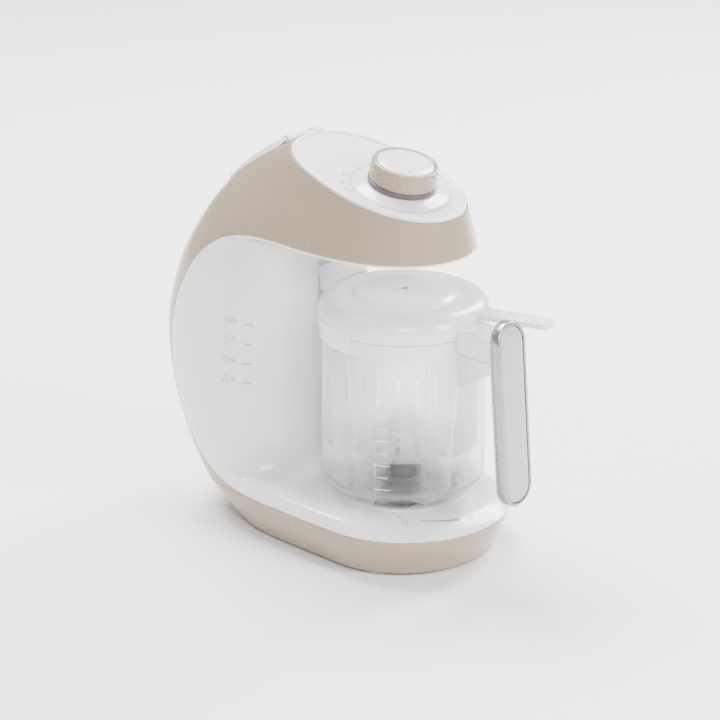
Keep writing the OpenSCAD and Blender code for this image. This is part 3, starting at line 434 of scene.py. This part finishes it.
# four generic symbols with dashes on the left wall
def leaf(y, z, s):
    t = np.linspace(0, 1, 14); w = 2.1*s*np.sin(PI*t)
    return [(np.column_stack([y - 3.5*s + 7*s*t, z + w]), 0.5), (np.column_stack([y - 3.5*s + 7*s*t, z - w]), 0.5), (np.array([[y - 3.5*s, z], [y + 2*s, z]]), 0.4)]
def drop(y, z, s):
    return [(np.vstack([[[y, z + 3.6*s]], arc(y, z - 0.6*s, 2.2*s, 35, -215, 26), [[y, z + 3.6*s]]]), 0.5)]
def ringm(y, z, s):
    return [(arc(y, z, 2.8*s, 0, 360, 30), 0.5), (arc(y, z, 1.2*s, 0, 360, 18), 0.4)]
def tri(y, z, s):
    return [(np.array([[y - 3*s, z - 2.2*s], [y + 3*s, z - 2.2*s], [y, z + 2.8*s], [y - 3*s, z - 2.2*s]]), 0.5), (np.array([[y - 1.6*s, z - 0.8*s], [y + 1.6*s, z - 0.8*s]]), 0.4)]
st = []
for k, (fn, z) in enumerate(((leaf, 156.6), (drop, 142.4), (ringm, 127.6), (tri, 113.2))):
    st += fn(109, z, 1.0); st.append((np.array([[96.5, z - 1.5], [90.5, z - 1.3]]), 0.9))
    st += fn(103.3, z + 0.9, 0.62)
marks("wall_symbols", st, on_side, "housing", P_pale, "beige_gloss", 0.08)

# turning scale on the deck: a tapered band between a closed and an open ring
a = np.linspace(rad(-126), rad(-99), 40); r_ = np.linspace(57.8, 63.2, 40)
st = [(np.column_stack([r_*np.cos(a), r_*np.sin(a)]), np.linspace(0.5, 2.3, 40))]
marks("deck_taper", st, on_deck, "housing", P_print, "beige_gloss", 0.08)
c1, c2 = (60*math.cos(rad(-136)), 60*math.sin(rad(-136))), (65*math.cos(rad(-91)), 65*math.sin(rad(-91)))
st = [(arc(c1[0], c1[1], 1.9, 0, 360, 30), 0.5), (arc(c2[0], c2[1], 1.9, -40, 240, 30), 0.5),
      (arc(0, 0, 53.5, -141, -138, 4), [2.2, 0.3])]
marks("deck_rings", st, on_deck, "housing", P_print, "beige_gloss", 0.08)

# ------------------------------------------------------------------ knob
give(new("knob_bezel_skin", lathe(fillet([[5, 0.02], [33, 0.02], [32.8, 0.35], [25.2, 2.75], [24.4, 2.95], [21.2, 2.9], [21, 2.0], [5, 2.0]], 0.5, 4), 160, f=knob)),
     "housing", M["white_gloss"], "white_gloss", "knob_bezel")
give(new("knob_ring_skin", lathe(fillet([[12, 3.3], [23.6, 3.3], [23.8, 3.6], [23.8, 6.2], [23.5, 6.5], [12, 6.5]], 0.3, 3), 160, f=knob)),
     "knob", M["knob_dark"], "knob_dark", "knob_ring")
MM = 22
aa = np.linspace(0, 2*PI, MM*2, endpoint=False)
def ringrow(r, z): return np.column_stack([r*np.cos(aa), r*np.sin(aa), np.full(len(aa), z)])
G = [ringrow(20.3, 6.55), ringrow(22.7, 6.55), ringrow(23.0, 6.9)]
for i in range(7):
    z = 7.6 + (18.5 - 7.6)*i/6
    ph = np.arange(MM*2)
    hi_ = ((ph + i) % 2 == 0)
    r = np.where(hi_, 23.45, 22.95); G.append(np.column_stack([r*np.cos(aa), r*np.sin(aa), np.full(len(aa), z)]))
G += [ringrow(22.9, 19.25), ringrow(22.6, 19.75), ringrow(22.0, 20.0), ringrow(20.9, 20.0), ringrow(20.3, 19.5), ringrow(20.25, 17.05)]
n = len(aa); V = np.vstack(G); F = []
for i in range(len(G) - 1):
    for j in range(n):
        a1, b1, c1_, d1 = i*n + j, i*n + (j+1) % n, (i+1)*n + (j+1) % n, (i+1)*n + j
        if 3 <= i < 9:
            if (j + i - 3) % 2 == 0: F += [(a1, b1, d1), (b1, c1_, d1)]
            else: F += [(a1, b1, c1_), (a1, c1_, d1)]
        else: F.append((a1, b1, c1_, d1))
F += [tuple(reversed(range(n))), tuple((len(G)-1)*n + i for i in range(n))]
hub = lathe(fillet([[3, 3.3], [12, 3.3], [12, 6.7], [3, 6.7]], 0.2, 2), 64)
ob = new("knob_grip_skin", (knob(V), F), 4)
give(ob, "knob", M["beige_gloss"], "beige_gloss", "knob_grip")
give(new("knob_hub", (knob(hub[0]), hub[1])), "knob", M["beige_gloss"], "beige_gloss")
b_ = np.linspace(0, PI/2, 16)
cap = [[0, 17.1], [19.3, 17.1], [19.8, 17.6], [19.85, 19.2]] + [[19.85*math.cos(t)**0.55 if t < PI/2 - 1e-6 else 0, 19.2 + 2.3*math.sin(t)] for t in b_[1:]]
give(new("knob_cap_skin", lathe(cap, 160, f=knob)), "knob", M["white_gloss"], "white_gloss", "knob_cap")
dot = lathe([[0, 20.2], [0.9, 20.2], [0.9, 20.98], [0.6, 21.12], [0, 21.12]], 28)
give(new("knob_index", (knob(dot[0] + np.array([-9.5, -12.5, 0.0])), dot[1])), "knob", M["knob_dark"], "knob_dark")

# ------------------------------------------------------------------ tank lid
LA0, LA1 = 39.0, 68.2
def lw(a):
    u = (a - LA0)/(LA1 - LA0)
    return 23.2*(1 - 0.5*(np.maximum(0, u - 0.78)/0.22)**2)*np.maximum(0.02, 1 - (1 - np.minimum(1, u*1.6))**3)**0.5
def lpt(x, z, o):
    n = nz(z); y = y0(z) + (yb(z) - y0(z))*np.maximum(0, 1 - (np.abs(x)/W(z))**n)**(1/n); k = 1 + o/BR
    return np.stack([x, BCY + (y - BCY)*k, BCZ + (z - BCZ)*k], -1)
sv = np.sin(np.linspace(-PI/2, PI/2, 49)); su = (1 - np.cos(np.linspace(0, PI, 61)))/2
Uq, Vq = np.meshgrid(su, sv, indexing="ij"); a = LA0 + (LA1 - LA0)*Uq; z = BCZ + BR*np.sin(np.radians(a)); x = lw(a)*Vq
d = np.minimum(lw(a)*(1 - np.abs(Vq)), np.minimum(Uq, 1 - Uq)*(LA1 - LA0)*2.7)
e = np.clip(d/1.8, 0, 1); off = 0.36 + 1.62*np.sqrt(np.maximum(0, 1 - (1 - e)**2))
# the lid takes the white gloss colour: a painted highlight, the white standing for the bright reflection on a beige
# glossy lid
ob = new("tank_lid_skin_painted_highlight", thick(lpt(x, z, off), lpt(x, z, np.full(off.shape, 0.34)), gridf(61, 49)), 35)
give(ob, "tank_lid", M["white_gloss"], "white_gloss", "tank_lid")

q = rrect(13, 4.2, 1.9); n_ = len(q); rows = []
for d_, h_ in ((0.0, 0.4), (0.0, 2.6), (0.35, 3.15), (1.0, 3.45), (1.7, 3.5)):
    qi = inset(q, d_); aq = np.degrees((qi[:, 1])/BR) + 42.2; rows.append(lpt(qi[:, 0], BCZ + BR*np.sin(np.radians(aq)), np.full(n_, h_)))
give(new("tank_lid_catch", loft(rows), 40), "tank_lid", M["white_gloss"], "white_gloss")

# ------------------------------------------------------------------ jug
ri, ro, jb = 55.6, 57.8, 50.0
P = [[6.1, 50.6], [20, 50.4], [36.9, 50.0]]
P += [[49.8 + 8*math.sin(t), 58 - 8*math.cos(t)] for t in np.linspace(0, PI/2, 12)]
P += [[ro, 100], [ro, 168.4], [57.5, 169], [55.9, 169], [ri, 168.6], [ri, 158.2], [53.5, 158], [53.5, 157.2], [ri, 154.0], [ri, 100]]
P += [[49.2 + 6.4*math.sin(t), 59.2 - 6.4*math.cos(t)] for t in np.linspace(PI/2, 0, 10)] + [[36, 52.8], [20, 52.8], [6.1, 52.8]]
give(new("jug_bowl_skin", lathe(P, 224), 38), "jug", M["clear_plastic"], "clear_plastic", "jug_bowl")
give(new("jug_collar_skin", lathe(fillet([[57.82, 157.8], [59.4, 157.8], [59.4, 168.4], [57.82, 168.4]], 0.3, 3), 224)), "jug", M["white_gloss"], "white_gloss", "jug_collar")
# moulded ribs inside the wall
parts = []
for a in (-122, -87, -84, -158, -55, 35, 90, 150):
    t = rad(a); c, s = math.cos(t), math.sin(t)
    rows = []
    for z in np.linspace(60, 152, 24):
        q = np.array([[ri + 0.02, -0.55], [ri - 0.75, -0.35], [ri - 0.9, 0], [ri - 0.75, 0.35], [ri + 0.02, 0.55]])
        rows.append(np.column_stack([q[:, 0]*c - q[:, 1]*s, q[:, 0]*s + q[:, 1]*c, np.full(5, z)]))
    parts.append(loft(rows))
give(new("jug_ribs", join(*parts), 50), "jug", M["clear_plastic"], "clear_plastic")
def on_jug(G, h):                  # G holds (angle in degrees, z)
    a = np.radians(G[..., 0]/1.0); r = ro + h
    return np.stack([r*np.cos(a), r*np.sin(a), G[..., 1]], -1)
def jmark(a, z, w, hgt):
    r = ro + 0.09; A_ = np.radians(np.linspace(a - w/2, a + w/2, 6)); Z = np.array([z - hgt/2, z + hgt/2])
    Vo = np.stack([np.stack([r*np.cos(A_), r*np.sin(A_), np.full(6, q)], -1) for q in Z]); Vi = Vo*np.array([ro - 0.02, ro - 0.02, 0])/r + Vo*np.array([0, 0, 1])
    return thick(Vo, Vi, gridf(2, 6))
give(new("jug_scale", join(*[jmark(-152, 62 + 9*i, 7 if i % 2 else 11, 0.5) for i in range(7)]), 40, False), "jug", P_frost, "clear_plastic")

# handle
def hring(d, h, w=13.4, L=129.8): return np.column_stack([inset(stadium(w, L)[::1], d), np.full(58, h)])
body = loft([hring(d, h) for d, h in ((8.5, -5.95), (6, -5.9), (3.6, -5.45), (1.9, -4.6), (0.8, -3.3), (0.3, -1.7), (0.2, -1.3), (2.2, -1.0), (2.6, 3.2), (2.7, 3.55), (3.0, 3.6))], f=grip)
blk_in = np.array([[60.95*math.sin(t), -60.95*math.cos(t)] for t in np.linspace(math.asin(12/60.95), -math.asin(12/60.95), 13)])
blk = prism(np.vstack([blk_in, [[-12, -89.5]], [[-10.4, -91]], [[10.4, -91]], [[12, -89.5]]]), 160.3, 177.6, 0.9)
ob = new("handle_body_skin", join(body, blk), 38)
give(ob, "jug", M["white_gloss"], "white_gloss", "handle_body")
sd = lambda w, L, d, h: np.column_stack([inset(stadium(w, L), d), np.full(58, h)])
R = [sd(14, 131, d, h) for d, h in ((0.3, -1.2), (0, -0.8), (0, 5.3), (0.3, 5.9), (0.9, 6.2), (1.6, 6.15), (2.2, 5.9), (2.5, 3.7))]
V = np.vstack(R); F = gridf(8, 58, True) + [(7*58 + i, 7*58 + (i+1) % 58, (i+1) % 58, i) for i in range(58)]
give(new("handle_trim_skin", (grip(V), F), 50), "jug", M["silver"], "silver", "handle_trim")
ins = loft([sd(11.2, 125.4, d, h) for d, h in ((0.1, 3.65), (0.0, 5.2), (0.25, 5.65), (0.9, 6.0), (2.2, 6.25), (4.5, 6.45), (7.5, 6.55), (10.5, 6.6))], f=grip)
give(new("handle_insert_skin", ins, 40), "jug", M["insert_pink"], "insert_pink", "handle_insert")
yo = lambda z: -pchip(z, [135, 137, 143, 147, 152, 160.2], [59.5, 63, 70, 80, 87, 88])
rows = []
for z in np.r_[np.linspace(135.4, 157.5, 22), 157.65]:
    y1 = float(yo(z)); hw = 9.0; P_ = []
    g = GY - 6*0 + 0
    lim = grip(np.array([0, (z - GZ)/math.cos(GL), -6.1]))[1] + 0.4
    y1 = max(y1, lim)
    xs = np.linspace(-hw, hw, 13); inn = [[x, -math.sqrt(57.95**2 - x*x)] for x in xs]
    out = [[hw, y1 + 1.6], [hw - 0.5, y1 + 0.5], [hw - 1.6, y1], [-hw + 1.6, y1], [-hw + 0.5, y1 + 0.5], [-hw, y1 + 1.6]]
    out = [[x, min(y, -math.sqrt(57.95**2 - x*x) - 0.2)] for x, y in out]
    rows.append(np.column_stack([np.array(inn + out), np.full(19, z)]))
give(new("handle_bracket_skin", loft(rows), 40), "jug", M["bracket_tint"], "bracket_tint", "handle_bracket")

# ------------------------------------------------------------------ blade set
give(new("blade_hub_skin", lathe(fillet([[3.05, 53.8], [13, 53.8], [13, 59.6], [10.2, 60.8], [6.6, 69.4], [6.4, 72.6], [3.05, 72.6]], 0.8, 4), 96)), "blade", M["dark_plastic"], "dark_plastic", "blade_hub")
def blade(r, z, rot, tilt):
    nu, nw = 30, 9; Vt, Vb = [], []
    for u in np.linspace(0, 1, nu):
        x = 5 + (r - 5)*u; yl = 7.5*math.sin(PI*u) - 3; yt = yl - 8.5*(1 - u) - 0.6 - 3*math.sin(PI*u)
        for w in np.linspace(0, 1, nw):
            y = yl + (yt - yl)*w; k = min(1, w*(yl - yt)/2.6); h = 0.12 + 0.55*k
            for L_, q in ((Vt, 0.7 + h), (Vb, 0.7 - h)): L_.append([x, y, q])
    def tr(P):
        P = np.array(P); t = rad(tilt); X, Z = P[:, 0]*math.cos(t) + P[:, 2]*math.sin(t), -P[:, 0]*math.sin(t) + P[:, 2]*math.cos(t)
        c, s = math.cos(rad(rot)), math.sin(rad(rot)); return np.stack([X*c - P[:, 1]*s, X*s + P[:, 1]*c, Z + z], -1)
    return thick(tr(Vt), tr(Vb), gridf(nu, nw))
give(new("blades_skin", join(*[blade(38, 62, s, -7) for s in (0, 180)], *[blade(24, 66.2, s + 75, -16) for s in (0, 180)]), 25), "blade", M["bright_steel"], "bright_steel", "blades")

# ------------------------------------------------------------------ basket
Nt = 288; zz = np.r_[82.0, 86, 90, 96, 102, 108, 115, 121, 126, 132, 138, 143, 148, 153, 158.2]
Tt = np.linspace(0, 2*PI, Nt, endpoint=False); F = []
for i in range(len(zz) - 1):
    for j in range(Nt):
        k = j % 12; slot_here = (k < 3 or k > 9) and False
        if 5 <= k <= 7 and ((zz[i] >= 86 and zz[i+1] <= 102) or (zz[i] >= 121 and zz[i+1] <= 143)): continue
        F.append((i*Nt + j, i*Nt + (j+1) % Nt, (i+1)*Nt + (j+1) % Nt, (i+1)*Nt + j))
Vo = np.stack([np.stack([52*np.cos(Tt), 52*np.sin(Tt), np.full(Nt, z)], -1) for z in zz]); Vi = np.stack([np.stack([50.2*np.cos(Tt), 50.2*np.sin(Tt), np.full(Nt, z)], -1) for z in zz])
wall = thick(Vo, Vi, F)
rb = np.array([9.0, 14, 19, 22, 27, 31, 35, 39, 43, 48, 50.2, 52]); F = []
for i in range(len(rb) - 1):
    for j in range(Nt):
        k = j % 24
        if (i in (2, 3, 5, 6, 8)) and 9 <= k <= 11: continue
        F.append((i*Nt + j, (i+1)*Nt + j, (i+1)*Nt + (j+1) % Nt, i*Nt + (j+1) % Nt))
disc = lambda z: np.stack([np.stack([r*np.cos(Tt), r*np.sin(Tt), np.full(Nt, z)], -1) for r in rb])
bot = thick(disc(82.0), disc(80.0), F)
fl = lathe(fillet([[50.2, 158.2], [54.9, 158.2], [54.9, 160.2], [50.2, 160.2]], 0.4, 3), Nt)
tb_ = lathe(fillet([[7.2, 80], [9, 80], [9, 100], [7.2, 100]], 0.4, 3), 96)
give(new("basket_skin", join(wall, bot, fl, tb_), 35, False), "basket", M["basket_clear"], "clear_plastic", "steam_basket")

# ------------------------------------------------------------------ lid
P = [[2.4, 190.3], [20, 190.05], [30, 189.7], [33, 189.2], [34.8, 188.2], [37, 186.8], [41, 186.5], [46, 187.0], [52, 186.4], [56.4, 184.0], [59.0, 180.6], [60.2, 177.0], [60.5, 169.7], [60.2, 169.15], [58.6, 169.1], [58.3, 169.4],
     [58.3, 171.6], [56, 171.6], [56, 176], [54.6, 180], [50, 182.6], [40, 184.6], [30, 185.6], [20, 187], [2.4, 187.6]]
dome = lathe(fillet(P, [0.3, 3, 2, 1.2, 1.0, 1.5, 3, 3, 3, 3, 3, 2, 0.3, 0.3, 0.2, 0.2] + [0.2]*9, 5), 240)
ob = new("lid_skin", dome, 35)
give(ob, "lid", M["white_gloss"], "white_gloss", "jug_lid")
x_ = np.linspace(-15, 15, 13); yin = np.sqrt(52.3**2 - x_**2)
duct = prism(np.vstack([np.column_stack([x_, yin]), [[15, 79.5]], [[13.5, 81]], [[-13.5, 81]], [[-15, 79.5]]]), 176.5, 188.1, 0.9)
duct_o = new("lid_duct", duct, 35)
c = new("cut_a", lathe([[0, 61], [4, 61], [4, 90], [0, 90]], 40, f=lambda V: np.stack([V[:, 0], V[:, 2], 180 - V[:, 1]], -1)))
cut(duct_o, [c], 35)
give(duct_o, "lid", M["white_gloss"], "white_gloss")
TR = 112.0; ta = rad(17)
t_ = np.linspace(PI, 2*PI, 20); o = np.vstack([[[7.5, -58.0]], [[-7.5, -58.0]], np.column_stack([7.5*np.cos(t_), -(TR - 7.5) + 7.5*np.sin(t_)])])
o = np.vstack([[[8.8, -57.6]], [[-8.8, -57.6]], [[-7.8, -62]], [[-7.5, -70]], np.column_stack([7.5*np.cos(t_), -(TR - 7.5) + 7.5*np.sin(t_)]), [[7.5, -70]], [[7.8, -62]]])
tabp = [prism(o, 178.6, 183.0, 1.1)]
for i in range(5):
    yy = -(TR - 7.5) + 1.8 + 4.2*i
    tabp.append(prism(rrect(11, 1.5, 0.7, 0, yy), 182.6, 183.85, 0.35))
ct, st_ = math.cos(ta), math.sin(ta)
V, F = join(*tabp); V = np.stack([V[:, 0]*ct - V[:, 1]*st_, V[:, 0]*st_ + V[:, 1]*ct, V[:, 2]], -1)
give(new("lid_tab", (V, F), 35), "lid", M["white_gloss"], "white_gloss")
lug = []
for a in (169.6, 349.6):
    rows = []; A_ = np.radians(np.linspace(a - 15.5, a + 15.5, 40))
    for i, t in enumerate(A_):
        sq = min(1, min(i, 39 - i)/3.0); b0, b1 = 167.1 - 7.4*(0.85 + 0.15*sq), 167.1 + 6.9*(0.85 + 0.15*sq)
        q = fillet([[59.78, b0], [61.05, b0], [61.05, b1], [59.78, b1]], 0.45, 3)
        rows.append(np.column_stack([q[:, 0]*math.cos(t), q[:, 0]*math.sin(t), q[:, 1]]))
    lug.append(loft(rows))
give(new("lid_lugs", join(*lug), 40), "lid", M["white_gloss"], "white_gloss")
# dark disc filling the lid's centre steam hole: painted shade standing for the dark inside of the hole
shade_plug = lathe([[0.0, 187.62], [2.35, 187.62], [2.35, 189.6], [0.0, 189.6]], 40)
give(new("lid_vent_painted_shade", shade_plug, 35), "lid", M["dark_plastic"], "dark_plastic")

# ------------------------------------------------------------------ stage
def plane_obj(name, s, z):
    me = bpy.data.meshes.new(name); n = 24; g = np.linspace(-s, s, n)
    V = [(float(x), float(y), z) for y in g for x in g]; me.from_pydata(V, [], [(i*n + j, i*n + j + 1, (i+1)*n + j + 1, (i+1)*n + j) for i in range(n-1) for j in range(n-1)])
    o = bpy.data.objects.new(name, me); bpy.context.scene.collection.objects.link(o); return o
fl_ = plane_obj("floor", 6.0, 0.0)
fl_.data.materials.append(mat("floor_pale", (0.97, 0.97, 0.97), 0.6, 0.002, 3, 0.0, 300))
w = bpy.data.worlds.new("studio"); w.use_nodes = True; bpy.context.scene.world = w
w.node_tree.nodes["Background"].inputs["Color"].default_value = (0.98, 0.985, 1.0, 1)
w.node_tree.nodes["Background"].inputs["Strength"].default_value = 0.5
def area(name, loc, target, size, power, col=(1, 1, 1)):
    l = bpy.data.lights.new(name, "AREA"); l.shape = "RECTANGLE"; l.size, l.size_y = size; l.energy = power; l.color = col
    o = bpy.data.objects.new(name, l); bpy.context.scene.collection.objects.link(o)
    o.location = loc; o.rotation_euler = (Vector(target) - Vector(loc)).to_track_quat("-Z", "Y").to_euler(); return o
area("key", (-1.3, -1.3, 1.5), (0, 0, 0.12), (0.8, 0.8), 36)
area("front", (0.3, -1.9, 1.2), (0, 0, 0.12), (0.6, 0.9), 44)
area("right", (1.6, 0.1, 1.3), (0, 0, 0.12), (0.6, 1.2), 70)
area("back", (0.3, 1.2, 2.3), (0, 0, 0.1), (1.5, 0.9), 170)
cam = bpy.data.objects.new("cam", bpy.data.cameras.new("cam")); bpy.context.scene.collection.objects.link(cam)
cam.data.lens = 129.2; cam.data.sensor_width = 36.0; cam.data.clip_start = 0.05; cam.data.clip_end = 60
cam.location = (-1.24352, -1.14416 + J/1000, 0.77785)
cam.rotation_euler = (rad(90 - 20.78), 0, rad(-46.34))
bpy.context.scene.camera = cam
